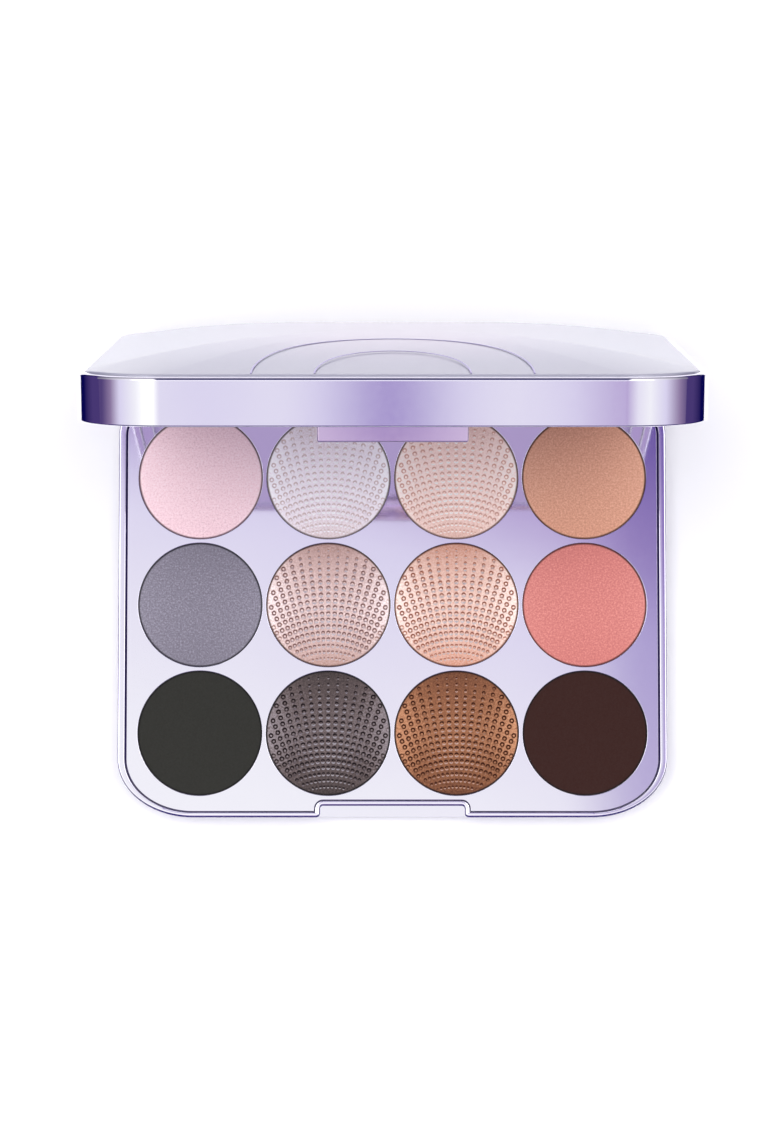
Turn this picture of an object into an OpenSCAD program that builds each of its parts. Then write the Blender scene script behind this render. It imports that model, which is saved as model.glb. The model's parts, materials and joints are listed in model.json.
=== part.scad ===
// Hinged eyeshadow palette with twelve round pans in a domed, mirrored case.
// Units are millimetres. X runs across the case, -Y is the opening side, +Z is up.
// The origin is the centre of the base's underside.

/* [Pans] */
// Number of pans in a row
columns = 4; // [2:1:6]
// Number of rows of pans
rows = 3; // [2:1:4]
// Outside diameter of a pan
pan_d = 26.5; // [20:0.5:36]
// Height of a pan
pan_h = 3.6; // [3:0.1:4.4]
// Thickness of a pan's wall and floor
pan_wall = 0.25; // [0.2:0.05:0.4]
// Space between neighbouring pans
pan_gap = 0.4; // [0.3:0.1:3]
// Depth of the powder's surface below the deck
powder_drop = 0.3; // [0.1:0.05:0.6]
// Thickness of the glue under a pan
glue_t = 0.25; // [0.1:0.05:0.4]

/* [Case] */
// Distance from the outer pans to the case's sides
side_margin = 4.05; // [3.6:0.05:12]
// Distance from the front pans to the case's front
front_margin = 4.35; // [4.1:0.05:12]
// Distance from the rear pans to the case's back
rear_margin = 7.95; // [6:0.05:16]
// Width of each corner's quarter ellipse, across the case
corner_w = 15.9; // [10:0.1:20]
// Depth of each corner's quarter ellipse, front to back
corner_d = 12.2; // [10:0.1:16]
// Height of the base, up to the hinge axis
base_h = 7.5; // [6.2:0.1:12]
// Thickness of the base's floor
floor_t = 1.3; // [1:0.1:1.5]
// Height of the foot under the base
foot_h = 0.6; // [0.3:0.1:1]
// Distance from the case's edge in to the foot
foot_inset = 1.2; // [0.6:0.1:2]

/* [Rims and deck] */
// Width of the base's rim at the sides
rim_side = 1.6; // [1.2:0.1:2]
// Width of the base's rim at the front and round the notch
rim_front = 1.1; // [0.9:0.1:1.2]
// Width of both rims at the back, where the hinge is cut in
rim_back = 3.2; // [3:0.1:4]
// Width of the ledge that carries the deck or the mirror frame
ledge_w = 1.2; // [0.8:0.1:1.2]
// Thickness of the deck
deck_t = 1.4; // [1.2:0.1:2]
// Depth of the deck's surface below the rim
deck_drop = 0.1; // [0:0.05:0.3]
// Thickness of the lip that holds a pan down
lip_t = 0.4; // [0.3:0.05:0.6]
// Width of the bevel round each hole in the deck
hole_bevel = 0.2; // [0.1:0.05:0.3]

/* [Lid] */
// Angle at which the lid stands open
lid_open = 76.75; // [0:0.25:130]
// Height of the lid's rim above the hinge axis
lid_h = 9.12; // [8:0.1:14]
// Extra height at the middle of the domed panel
dome_h = 5.04; // [2:0.1:8]
// How flat the dome is across the case, where a higher power is flatter
dome_power_w = 3.73; // [2:0.1:5]
// How flat the dome is from front to back
dome_power_d = 2.58; // [2:0.1:5]
// Thickness of the domed panel
panel_t = 2.2; // [1.8:0.1:3]
// Distance from the lid's edge to the panel
panel_inset = 1.5; // [1:0.1:2.5]
// Depth of the panel's seat below the lid's rim
seat_depth = 1.3; // [1:0.1:1.6]
// Width of the lid's rim round its mouth
lid_rim = 1.6; // [1.4:0.1:2]
// Thickness of the inward flange under the panel
flange_t = 1.1; // [0.8:0.1:1.6]
// Width of the seat that the panel is taped to
seat_w = 3; // [2:0.1:3.4]
// Thickness of the adhesive tapes
tape_t = 0.15; // [0.1:0.05:0.3]

/* [Mirror] */
// Thickness of the mirror
mirror_t = 1.3; // [1:0.1:2]
// Thickness of the frame that holds the mirror
frame_t = 2.4; // [2.2:0.1:3.2]
// Width of the frame round the mirror
frame_w = 3; // [2:0.1:8]
// Depth of the frame inside the lid's mouth
frame_drop = 0.4; // [0.2:0.1:0.8]

/* [Latch] */
// Width of the notch in the base's front
notch_w = 30.2; // [20:0.1:40]
// Depth of the notch from the case's front
notch_d = 2.4; // [2.3:0.05:2.6]
// Height of the notch, from its floor to the hinge axis
notch_h = 4.1; // [3.5:0.1:4.6]
// Radius of the notch's inner corners
notch_r = 0.6; // [0.3:0.1:1]
// Width of the lid's tongue
tongue_w = 27.3; // [16:0.1:30]
// Length of the tongue below the hinge axis
tongue_l = 2.7; // [2:0.1:2.8]
// Thickness of the tongue
tongue_t = 0.9; // [0.8:0.05:1]
// Distance from the lid's front back to the tongue
tongue_back = 1; // [0.8:0.05:1]
// Width of the catch bar
catch_w = 27.4; // [16:0.1:28]
// Thickness of the catch bar's foot
catch_t = 0.8; // [0.5:0.1:1]
// Thickness of the catch bar's upright
catch_rib_t = 0.3; // [0.2:0.05:0.35]

/* [Hinge] */
// Diameter of a hinge pin
pin_d = 1.5; // [1:0.1:2]
// Radial clearance between a pin and the lid's knuckle
pin_clearance = 0.05; // [0.02:0.01:0.1]
// Radius of a knuckle
knuckle_r = 1.9; // [1.6:0.1:2.4]
// Length of a base knuckle
base_knuckle_l = 5; // [3:0.5:8]
// Length of a lid knuckle
lid_knuckle_l = 8; // [4:0.5:12]
// Side gap between neighbouring knuckles
knuckle_gap = 0.25; // [0.15:0.05:0.5]
// Radial gap round a knuckle where the other wall is cut back
knuckle_relief = 0.25; // [0.2:0.05:0.4]
// Distance of the hinge axis behind the case's back
hinge_back = 0.3; // [0.2:0.1:0.5]
// Depth of each pin's end inside its bore
pin_recess = 0.4; // [0.2:0.1:0.8]

/* [Fits] */
// Gap between the closed lid and the base
parting_gap = 0.3; // [0.2:0.05:0.5]
// Radial clearance between a pan and its seat in the deck
seat_clearance = 0.05; // [0.02:0.01:0.1]
// Gap round the deck and the mirror frame
edge_gap = 0.1; // [0.05:0.05:0.2]

/* [Hidden] */
$fn = 96;
corner_steps = 16;
panel_rings = 12;
eps = 0.01;
through = 1;

pan_pitch = pan_d + pan_gap;
case_w = columns * pan_d + (columns - 1) * pan_gap + 2 * side_margin;
case_d = rows * pan_d + (rows - 1) * pan_gap + front_margin + rear_margin;
front_y = -case_d / 2;
back_y = case_d / 2;
axis_y = back_y + hinge_back;
axis_z = base_h;
front_row_y = front_y + front_margin + pan_d / 2;

base_top = axis_z - parting_gap / 2;
deck_top = base_top - deck_drop;
deck_bottom = deck_top - deck_t;
pan_top = deck_top - lip_t;
pan_bottom = pan_top - pan_h;
pad_top = pan_bottom - glue_t;
pad_share = 0.6;
glue_inset = 0.5;
pad_r = pad_share * pan_d / 2;
glue_r = pad_r - glue_inset;
powder_top = deck_top - powder_drop;
powder_r = pan_d / 2 - pan_wall;
hole_r = powder_r + seat_clearance;
seat_r = pan_d / 2 + seat_clearance;

// In the lid, lengths are measured from the hinge axis with the lid closed.
lid_mouth = parting_gap / 2;
lid_shift = -(case_d / 2 + hinge_back);
lid_front = lid_shift - case_d / 2;
frame_bottom = lid_mouth + frame_drop;
frame_top = frame_bottom + frame_t;
mirror_gap = 0.05;
tape_margin = 2;
mirror_bottom = frame_bottom + mirror_gap;
mirror_top = mirror_bottom + mirror_t;
pocket_top = mirror_top + tape_t;
seat_z = lid_h - seat_depth;
panel_bottom = seat_z + tape_t;
flange_z = seat_z - flange_t;

notch_back = front_y + notch_d;
notch_floor = axis_z - notch_h;
tongue_front = lid_front + tongue_back;
catch_reach = 2.1;
catch_drop = 1.6;
catch_front = notch_back - catch_reach;
catch_top = axis_z - catch_drop;

straight_half = case_w / 2 - corner_w;
hinge_l = 2 * base_knuckle_l + lid_knuckle_l + 2 * knuckle_gap;
hinge_edge = 1;
hinge_x = straight_half - hinge_edge - hinge_l / 2;
gusset_angle = 30;
gusset_overlap = 0.2;
gusset_root = hinge_back + gusset_overlap;

lilac = [0.72, 0.64, 0.86];
pale_lilac = [0.88, 0.86, 0.95];
tin = [0.8, 0.8, 0.82];

powders = [
    ["powder_chocolate", [0.24, 0.13, 0.1]],
    ["powder_bronze", [0.5, 0.31, 0.2]],
    ["powder_gunmetal", [0.31, 0.27, 0.27]],
    ["powder_charcoal", [0.22, 0.22, 0.2]],
    ["powder_coral", [0.9, 0.56, 0.53]],
    ["powder_peach_gold", [0.85, 0.7, 0.64]],
    ["powder_rose_beige", [0.75, 0.65, 0.63]],
    ["powder_slate", [0.55, 0.55, 0.6]],
    ["powder_tan", [0.78, 0.6, 0.47]],
    ["powder_champagne", [0.9, 0.82, 0.8]],
    ["powder_pearl", [0.88, 0.88, 0.92]],
    ["powder_pink", [0.91, 0.78, 0.82]]
];
shades = len(powders);
cells = columns * rows;
row_names = ["front", "middle", "rear", "back"];

function cell_row(i) = floor(i / columns);
function cell_column(i) = i % columns;
function cell_x(i) = ((columns - 1) / 2 - cell_column(i)) * pan_pitch;
function cell_y(i) = front_row_y + cell_row(i) * pan_pitch;
function pan_name(i) = str("pan_", row_names[cell_row(i)], "_", columns - cell_column(i));
function powder_name(i) = i < shades ? powders[i][0] : str("powder_extra_", i);
function powder_colour(i) = powders[i % shades][1];

// Outlines

function quarter(centre, rx, ry, start) = [
    for (k = [0:corner_steps])
        centre + [
            rx * cos(start + 90 * k / corner_steps),
            ry * sin(start + 90 * k / corner_steps)
        ]
];

// The case's outline, drawn in by its own distance at the sides, front and back.
function case_outline(side, front, back) =
    let (
        rx = corner_w - side,
        ry_front = corner_d - front,
        ry_back = corner_d - back,
        cx = case_w / 2 - corner_w,
        cy_front = front_y + corner_d,
        cy_back = back_y - corner_d
    )
    concat(
        quarter([cx, cy_back], rx, ry_back, 0),
        quarter([-cx, cy_back], rx, ry_back, 90),
        quarter([-cx, cy_front], rx, ry_front, 180),
        quarter([cx, cy_front], rx, ry_front, 270)
    );

// The notch's outline, grown by a margin and open towards the front.
function notch_outline(grow) =
    let (
        hw = notch_w / 2 + grow,
        r = notch_r + grow,
        top = notch_back + grow
    )
    concat(
        [[-hw, front_y - through], [hw, front_y - through]],
        quarter([hw - r, top - r], r, r, 0),
        quarter([-hw + r, top - r], r, r, 90)
    );

module slab(side, front, back, low, high) {
    translate([0, 0, low])
        linear_extrude(high - low)
            polygon(case_outline(side, front, back));
}

module notch(grow, low, high) {
    translate([0, 0, low])
        linear_extrude(high - low)
            polygon(notch_outline(grow));
}

module at_cells() {
    for (i = [0:cells - 1])
        translate([cell_x(i), cell_y(i), 0])
            children();
}

// Hinge

module along_x(start, length, radius) {
    translate([start, 0, 0])
        rotate([0, 90, 0])
            cylinder(h = length, r = radius);
}

module knuckle(start, length) {
    along_x(start, length, knuckle_r);
    reach = knuckle_r * cos(gusset_angle);
    rise = (reach + gusset_root) / tan(gusset_angle) + knuckle_r * sin(gusset_angle);
    translate([start, 0, 0])
        rotate([90, 0, 90])
            linear_extrude(length)
                polygon([
                    [-gusset_root, 0],
                    [0, 0],
                    [reach, knuckle_r * sin(gusset_angle)],
                    [-gusset_root, rise]
                ]);
}

module at_hinges() {
    for (side = [-1, 1])
        translate([side * hinge_x, 0, 0])
            children();
}

module base_knuckles() {
    at_hinges()
        mirror([0, 0, 1]) {
            knuckle(-hinge_l / 2, base_knuckle_l);
            knuckle(hinge_l / 2 - base_knuckle_l, base_knuckle_l);
        }
}

module lid_knuckles() {
    at_hinges()
        knuckle(-lid_knuckle_l / 2, lid_knuckle_l);
}

// The space that the lid's knuckles turn in.
module base_relief() {
    length = lid_knuckle_l + 2 * knuckle_gap;
    at_hinges()
        along_x(-length / 2, length, knuckle_r + knuckle_relief);
}

// The space that the base's knuckles take out of the lid.
module lid_relief() {
    length = base_knuckle_l + 2 * knuckle_gap;
    at_hinges()
        for (side = [-1, 1])
            along_x(
                side * (hinge_l - base_knuckle_l) / 2 - length / 2,
                length,
                knuckle_r + knuckle_relief
            );
}

module pin_bores(radius) {
    at_hinges()
        along_x(-hinge_l / 2 - through, hinge_l + 2 * through, radius);
}

module at_axis() {
    translate([0, axis_y, axis_z])
        children();
}

// Places what is drawn for the closed lid, with the hinge axis as its X axis.
module on_lid() {
    at_axis()
        rotate([-lid_open, 0, 0])
            children();
}

// Draws a case outline in the closed lid's place.
module lid_slab(side, front, back, low, high) {
    translate([0, lid_shift, 0])
        slab(side, front, back, low, high);
}

// Base

module base_shell() {
    color(lilac) {
        difference() {
            union() {
                slab(0, 0, 0, foot_h, base_top);
                slab(foot_inset, foot_inset, foot_inset, 0, foot_h + eps);
                at_axis()
                    base_knuckles();
            }
            difference() {
                slab(rim_side + ledge_w, rim_front + ledge_w, rim_back + ledge_w, floor_t, base_top + through);
                notch(rim_front, 0, base_h);
            }
            difference() {
                slab(rim_side, rim_front, rim_back, deck_bottom, base_top + through);
                notch(rim_front, 0, base_h + 2 * through);
            }
            notch(0, notch_floor, base_h + through);
            at_axis() {
                base_relief();
                pin_bores(pin_d / 2);
            }
        }
        at_cells()
            translate([0, 0, floor_t - eps])
                cylinder(h = pad_top - floor_t + eps, r = pad_r);
    }
}

module deck_frame() {
    color(pale_lilac)
        difference() {
            slab(rim_side + edge_gap, rim_front + edge_gap, rim_back + edge_gap, deck_bottom, deck_top);
            notch(rim_front + edge_gap, deck_bottom - through, deck_top + through);
            at_cells() {
                translate([0, 0, deck_bottom - through])
                    cylinder(h = deck_t + 2 * through, r = hole_r);
                translate([0, 0, deck_bottom - through])
                    cylinder(h = pan_top - deck_bottom + through, r = seat_r);
                translate([0, 0, deck_top - hole_bevel])
                    cylinder(h = hole_bevel + eps, r1 = hole_r, r2 = hole_r + hole_bevel + eps);
            }
        }
}

module pan_glue() {
    color("white")
        at_cells()
            translate([0, 0, pad_top])
                cylinder(h = glue_t, r = glue_r);
}

module pan(i) {
    color(tin)
        translate([cell_x(i), cell_y(i), pan_bottom])
            difference() {
                cylinder(h = pan_h, r = pan_d / 2);
                translate([0, 0, pan_wall])
                    cylinder(h = pan_h, r = pan_d / 2 - pan_wall);
            }
}

module powder(i) {
    color(powder_colour(i))
        translate([cell_x(i), cell_y(i), pan_bottom + pan_wall])
            cylinder(h = powder_top - pan_bottom - pan_wall, r = powder_r);
}

// An L-shaped bar on the notch's floor, with a rib that the tongue clicks behind.
module catch_bar() {
    foot_d = notch_back - catch_front;
    color("white")
        translate([-catch_w / 2, 0, notch_floor]) {
            translate([0, catch_front, 0])
                cube([catch_w, foot_d, catch_t]);
            translate([0, notch_back - catch_rib_t, 0])
                cube([catch_w, catch_rib_t, catch_top - notch_floor]);
        }
}

module hinge_pin(side) {
    length = hinge_l - 2 * pin_recess;
    color("silver")
        at_axis()
            translate([side * hinge_x, 0, 0])
                along_x(-length / 2, length, pin_d / 2);
}

// Lid

module lid_shell() {
    color(lilac)
        on_lid()
            difference() {
                union() {
                    lid_slab(0, 0, 0, lid_mouth, lid_h);
                    lid_knuckles();
                }
                lid_slab(lid_rim, lid_rim, rim_back, lid_mouth - through, frame_top);
                lid_slab(lid_rim + ledge_w, lid_rim + ledge_w, rim_back + ledge_w, 0, flange_z);
                lid_slab(
                    panel_inset + seat_w,
                    panel_inset + seat_w,
                    rim_back + seat_w,
                    flange_z - through,
                    lid_h
                );
                lid_slab(panel_inset, panel_inset, panel_inset, seat_z, lid_h + through);
                tongue_slot(edge_gap / 2, lid_mouth - through);
                lid_relief();
                pin_bores(pin_d / 2 + pin_clearance);
            }
}

// Height of the dome above the lid's rim, with x and y from the case's centre.
function dome(x, y) =
    dome_h
    * (1 - pow(abs(2 * x / case_w), dome_power_w))
    * (1 - pow(abs(2 * y / case_d), dome_power_d));

function panel_outline() =
    let (inset = panel_inset + edge_gap)
    case_outline(inset, inset, inset);

// Points of a shell whose rings shrink evenly to the middle.
function panel_points(under) = [
    for (ring = [1:panel_rings])
        for (edge = panel_outline())
            let (
                p = edge * ring / panel_rings,
                top = lid_h + dome(p[0], p[1])
            )
            [p[0], p[1], under ? max(panel_bottom, top - panel_t) : top]
];

// A domed plate with a flat border underneath, closed by two fans and a side wall.
module lid_panel() {
    around = len(panel_outline());
    sheet = panel_rings * around;
    top_centre = 2 * sheet;
    under_centre = 2 * sheet + 1;
    points = concat(
        panel_points(false),
        panel_points(true),
        [[0, 0, lid_h + dome_h], [0, 0, lid_h + dome_h - panel_t]]
    );
    top_faces = [
        for (ring = [0:panel_rings - 2])
            for (k = [0:around - 1])
                let (
                    a = ring * around + k,
                    b = ring * around + (k + 1) % around
                )
                each [[a, a + around, b + around], [a, b + around, b]]
    ];
    under_faces = [
        for (face = top_faces)
            [face[2] + sheet, face[1] + sheet, face[0] + sheet]
    ];
    fans = [
        for (k = [0:around - 1])
            let (next = (k + 1) % around)
            each [[top_centre, k, next], [under_centre, sheet + next, sheet + k]]
    ];
    last = (panel_rings - 1) * around;
    side_faces = [
        for (k = [0:around - 1])
            let (
                a = last + k,
                b = last + (k + 1) % around
            )
            each [[a, a + sheet, b + sheet], [a, b + sheet, b]]
    ];
    faces = [
        for (face = concat(top_faces, under_faces, fans, side_faces))
            [face[2], face[1], face[0]]
    ];
    color(pale_lilac)
        on_lid()
            translate([0, lid_shift, 0])
                polyhedron(points, faces);
}

module panel_tape() {
    color("white")
        on_lid()
            difference() {
                lid_slab(
                    panel_inset + edge_gap,
                    panel_inset + edge_gap,
                    panel_inset + edge_gap,
                    seat_z,
                    panel_bottom
                );
                lid_slab(
                    panel_inset + seat_w,
                    panel_inset + seat_w,
                    rim_back + seat_w,
                    seat_z - through,
                    lid_h
                );
            }
}

module mirror_slab(inset, low, high) {
    lid_slab(lid_rim + inset, lid_rim + inset, rim_back + inset, low, high);
}

module mirror_frame() {
    color(pale_lilac)
        on_lid()
            difference() {
                mirror_slab(edge_gap, frame_bottom, frame_top);
                mirror_slab(frame_w - edge_gap, frame_bottom - through, pocket_top);
                tongue_slot(edge_gap, frame_bottom - through);
            }
}

module mirror_glass() {
    color([0.85, 0.88, 0.9])
        on_lid()
            mirror_slab(frame_w, mirror_bottom, mirror_top);
}

module mirror_tape() {
    color("white")
        on_lid()
            mirror_slab(frame_w + tape_margin, mirror_top, pocket_top);
}

// The space that the tongue takes in the lid's front wall and the mirror frame.
module tongue_slot(grow, low) {
    translate([-tongue_w / 2 - grow, tongue_front - grow, low])
        cube([tongue_w + 2 * grow, tongue_t + 2 * grow, frame_top - low]);
}

module latch_tongue() {
    color(lilac)
        on_lid()
            translate([-tongue_w / 2, tongue_front, -tongue_l])
                cube([tongue_w, tongue_t, tongue_l + frame_top]);
}

base_shell();
deck_frame();
pan_glue();
catch_bar();
for (i = [0:cells - 1]) pan(i);
for (i = [0:cells - 1]) powder(i);
hinge_pin(-1);  // hinge_pin_left
hinge_pin(1);  // hinge_pin_right
lid_shell();
lid_panel();
panel_tape();
mirror_frame();
mirror_glass();
mirror_tape();
latch_tongue();
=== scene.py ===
import json
import math

import bmesh
import bpy
import numpy as np
from mathutils import Matrix, Vector


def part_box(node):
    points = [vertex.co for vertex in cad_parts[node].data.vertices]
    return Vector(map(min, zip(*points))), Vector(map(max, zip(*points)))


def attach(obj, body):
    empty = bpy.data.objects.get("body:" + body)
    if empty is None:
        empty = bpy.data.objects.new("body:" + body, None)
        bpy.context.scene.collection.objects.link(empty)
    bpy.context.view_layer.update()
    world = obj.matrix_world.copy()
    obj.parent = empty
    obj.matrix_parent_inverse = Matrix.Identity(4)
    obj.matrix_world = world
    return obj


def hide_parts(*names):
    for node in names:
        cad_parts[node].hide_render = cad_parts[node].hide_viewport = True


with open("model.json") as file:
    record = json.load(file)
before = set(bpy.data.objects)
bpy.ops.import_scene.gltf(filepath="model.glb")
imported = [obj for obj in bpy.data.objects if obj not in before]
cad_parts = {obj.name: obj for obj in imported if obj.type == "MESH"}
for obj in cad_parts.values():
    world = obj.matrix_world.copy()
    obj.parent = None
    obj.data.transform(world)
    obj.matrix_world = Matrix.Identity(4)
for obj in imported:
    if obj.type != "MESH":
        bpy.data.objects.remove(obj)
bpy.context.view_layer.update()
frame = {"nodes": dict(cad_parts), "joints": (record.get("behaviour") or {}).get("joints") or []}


# Sizes in metres: some worked out from the frame's boxes and joint, the rest given

def mm(value):
    return value * 0.001


shell_low, shell_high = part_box("base_shell")
deck_low, deck_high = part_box("deck_frame")
JOINT = frame["joints"][0]
AXIS = Vector(JOINT["pos_m"])
LID_OPEN = math.radians(-JOINT["range_deg"][0])

CASE_W = 2 * shell_high.x
CASE_D = -2 * shell_low.y
FRONT_Y = shell_low.y
BACK_Y = -shell_low.y
HINGE_BACK = AXIS.y - BACK_Y
CORNER_W = mm(15.9)
CORNER_D = mm(12.2)

DECK_TOP = deck_high.z
DECK_BOTTOM = deck_low.z
BASE_TOP = DECK_TOP + mm(0.1)
FOOT_H = mm(0.6)
FOOT_INSET = mm(1.2)
FLOOR_T = mm(1.3)
LEDGE_W = mm(1.2)
BASE_RIM = (mm(1.6), mm(1.1), mm(3.2))
EDGE_GAP = mm(0.1)
GROOVE = (mm(0.34), mm(0.14), mm(0.3))

catch_low, catch_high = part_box("catch_bar")
NOTCH_HALF_W = mm(15.1)
NOTCH_BACK = catch_high.y
NOTCH_FLOOR = catch_low.z
NOTCH_CORNER_R = mm(0.6)
NOTCH_LIP_R = mm(0.9)

LID_MOUTH = AXIS.z - BASE_TOP
LID_H = mm(9.12)
LID_RIM = (mm(1.6), mm(1.6), mm(3.2))
DOME_H = mm(5.04)
DOME_POWER_W = 3.73
DOME_POWER_D = 2.58
PANEL_INSET = mm(1.5)
PANEL_T = mm(2.2)
PANEL_BOTTOM = LID_H - mm(1.15)
SEAT_Z = LID_H - mm(1.3)
SEAT_W = mm(3)
FLANGE_Z = SEAT_Z - mm(1.1)
FRAME_BOTTOM = LID_MOUTH + mm(0.4)
FRAME_TOP = FRAME_BOTTOM + mm(2.4)
FRAME_W = mm(3)
MIRROR_BOTTOM = FRAME_BOTTOM + mm(0.05)
MIRROR_TOP = MIRROR_BOTTOM + mm(1.3)
TONGUE_HALF_W = mm(13.65)
TONGUE_T = mm(0.9)
TONGUE_BACK = mm(1)
TONGUE_LOW = -mm(2.7)
ARC_RADII = (mm(25.5), mm(14.1))

KNUCKLE_R = mm(1.9)
KNUCKLE_RELIEF = mm(0.25)
KNUCKLE_GAP = mm(0.25)
BASE_KNUCKLE_L = mm(5)
LID_KNUCKLE_L = mm(8)
HINGE_X = (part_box("hinge_pin_right")[0].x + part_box("hinge_pin_right")[1].x) / 2
HINGE_L = 2 * BASE_KNUCKLE_L + LID_KNUCKLE_L + 2 * KNUCKLE_GAP
BASE_KNUCKLE_REACH = (HINGE_L - BASE_KNUCKLE_L) / 2
PIN_R = mm(0.75)

HOLE_R = mm(13.05)
POWDER_R = mm(13)

CORNER_STEPS = 24
FILLET_STEPS = 6

# The lid's own frame is the closed lid with the hinge axis as its X axis.
LID_PLACE = Matrix.Translation(AXIS) @ Matrix.Rotation(-LID_OPEN, 4, "X")
LID_SHIFT = -(CASE_D / 2 + HINGE_BACK)
LID_FRAME = LID_PLACE @ Matrix.Translation((0, LID_SHIFT, 0))


# The linear colour that both pale metallised finishes reflect with
METAL_TINT = (0.87, 0.84, 0.94)


# Outlines

def arc(cx, cy, rx, ry, start, end, steps):
    angles = np.radians(np.linspace(start, end, steps + 1))
    return [(cx + rx * math.cos(a), cy + ry * math.sin(a)) for a in angles]


def front_line(front, notched):
    """The case's front edge from left to right, either straight or following the notch."""
    y = FRONT_Y + front
    wall_x = NOTCH_HALF_W + front
    lip_r = max(NOTCH_LIP_R - front, mm(0.05))
    lip_x = wall_x + lip_r
    inner_r = NOTCH_CORNER_R + front
    back = NOTCH_BACK + front
    lip = arc(-lip_x, y + lip_r, lip_r, lip_r, -90, 0, FILLET_STEPS)
    inner = arc(-wall_x + inner_r, back - inner_r, inner_r, inner_r, 180, 90, FILLET_STEPS)
    left = lip + inner
    right = [(-x, py) for x, py in reversed(left)]
    path = left + right
    if not notched:
        path = [(x, y) for x, py in path]
    return path


def case_ring(side, front, back, notched=False, with_notch_points=False):
    """The case's outline, anticlockwise, drawn in by its own distance at the sides, front and back."""
    rx = CORNER_W - side
    ry_front = CORNER_D - front
    ry_back = CORNER_D - back
    cx = CASE_W / 2 - CORNER_W
    cy_front = FRONT_Y + CORNER_D
    cy_back = BACK_Y - CORNER_D
    ring = arc(cx, cy_back, rx, ry_back, 0, 90, CORNER_STEPS)
    ring += arc(-cx, cy_back, rx, ry_back, 90, 180, CORNER_STEPS)
    ring += arc(-cx, cy_front, rx, ry_front, 180, 270, CORNER_STEPS)
    if with_notch_points:
        ring += front_line(front, notched)
    ring += arc(cx, cy_front, rx, ry_front, 270, 360, CORNER_STEPS)
    return ring


def even(inset):
    return (inset, inset, inset)


def grown(rim, extra):
    return tuple(r + extra for r in rim)


# Meshes

def smooth_by_angle(mesh, degrees=38):
    """Smooth shading, with the edges sharper than this angle kept crisp."""
    mesh.polygons.foreach_set("use_smooth", [True] * len(mesh.polygons))
    mesh.set_sharp_from_angle(angle=math.radians(degrees))


def add_piece(name, mesh, body, materials, nodes=(), weighted=True):
    """Adds a mesh as a piece that rides on a body and stands for CAD nodes."""
    piece = bpy.data.objects.new(name, mesh)
    bpy.context.scene.collection.objects.link(piece)
    for material in materials:
        mesh.materials.append(material)
    if weighted:
        modifier = piece.modifiers.new("normals", "WEIGHTED_NORMAL")
        modifier.keep_sharp = True
        modifier.weight = 60
    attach(piece, body)
    if nodes:
        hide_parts(*nodes)
    return piece


def mesh_from(name, points, faces, place=None):
    mesh = bpy.data.meshes.new(name)
    mesh.from_pydata(points, [], faces)
    if place is not None:
        mesh.transform(place)
    work = bmesh.new()
    work.from_mesh(mesh)
    bmesh.ops.remove_doubles(work, verts=work.verts, dist=1e-7)
    bmesh.ops.dissolve_degenerate(work, edges=work.edges, dist=1e-7)
    wide = [face for face in work.faces if len(face.verts) > 4]
    bmesh.ops.triangulate(work, faces=wide)
    bmesh.ops.recalc_face_normals(work, faces=work.faces)
    work.to_mesh(mesh)
    work.free()
    smooth_by_angle(mesh)
    return mesh


def loft(name, rings, closed=False, place=None):
    """A skin over rings of equal length, with its ends capped or joined to each other."""
    around = len(rings[0])
    points = [p for ring in rings for p in ring]
    pairs = list(zip(range(len(rings) - 1), range(1, len(rings))))
    if closed:
        pairs.append((len(rings) - 1, 0))
    faces = []
    for low, high in pairs:
        for k in range(around):
            n = (k + 1) % around
            faces.append((low * around + k, low * around + n, high * around + n, high * around + k))
    if not closed:
        faces.append(tuple(reversed(range(around))))
        faces.append(tuple(range((len(rings) - 1) * around, len(rings) * around)))
    return mesh_from(name, points, faces, place)


def at_height(ring, z):
    return [(x, y, z) for x, y in ring]


def rounded(start, corner, end, steps=5):
    """Points of a profile's rounded corner, as a quarter of an ellipse from start to end."""
    made = []
    for a in np.linspace(0, math.pi / 2, steps + 1):
        s, c = math.sin(a), math.cos(a)
        point = [
            k + (s0 - k) * (1 - s) + (e - k) * (1 - c)
            for s0, k, e in zip(start, corner, end)
        ]
        made.append(tuple(point))
    return made


# Base pieces

def base_profile():
    """Rows of (side, front, back, height, notched) from the foot round to the inner floor."""
    rows = []

    def add(insets, z, notched):
        rows.append((*insets, z, notched))

    def turn(start, corner, end, notched, steps=5):
        for inset_z in rounded(start, corner, end, steps):
            add(inset_z[:3], inset_z[3], notched)

    foot = mm(0.2)
    turn((*even(FOOT_INSET + foot), 0), (*even(FOOT_INSET), 0), (*even(FOOT_INSET), foot), False)
    add(even(FOOT_INSET), FOOT_H, False)
    lower = mm(0.9)
    turn((*even(lower), FOOT_H), (*even(0), FOOT_H), (*even(0), FOOT_H + lower), False, 6)
    add(even(0), NOTCH_FLOOR, False)
    edge = (mm(0.4), mm(0.55), mm(0.55))
    turn((*even(0), BASE_TOP - edge[0]), (*even(0), BASE_TOP), (*edge, BASE_TOP), True, 6)
    inner = mm(0.2)
    flat = grown(BASE_RIM, -inner)
    turn((*flat, BASE_TOP), (*BASE_RIM, BASE_TOP), (*BASE_RIM, BASE_TOP - inner), True, 3)
    add(BASE_RIM, DECK_BOTTOM, True)
    add(grown(BASE_RIM, LEDGE_W), DECK_BOTTOM, True)
    add(grown(BASE_RIM, LEDGE_W), FLOOR_T, True)
    return rows


def base_rings():
    rings = []
    was_notched = False
    for side, front, back, z, notched in base_profile():
        if notched and not was_notched:
            ring = case_ring(0, 0, 0, True, True)
            rings.append(at_height(ring, NOTCH_FLOOR))
        was_notched = notched
        ring = case_ring(side, front, back, notched, True)
        rings.append(at_height(ring, z))
    return rings


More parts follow.
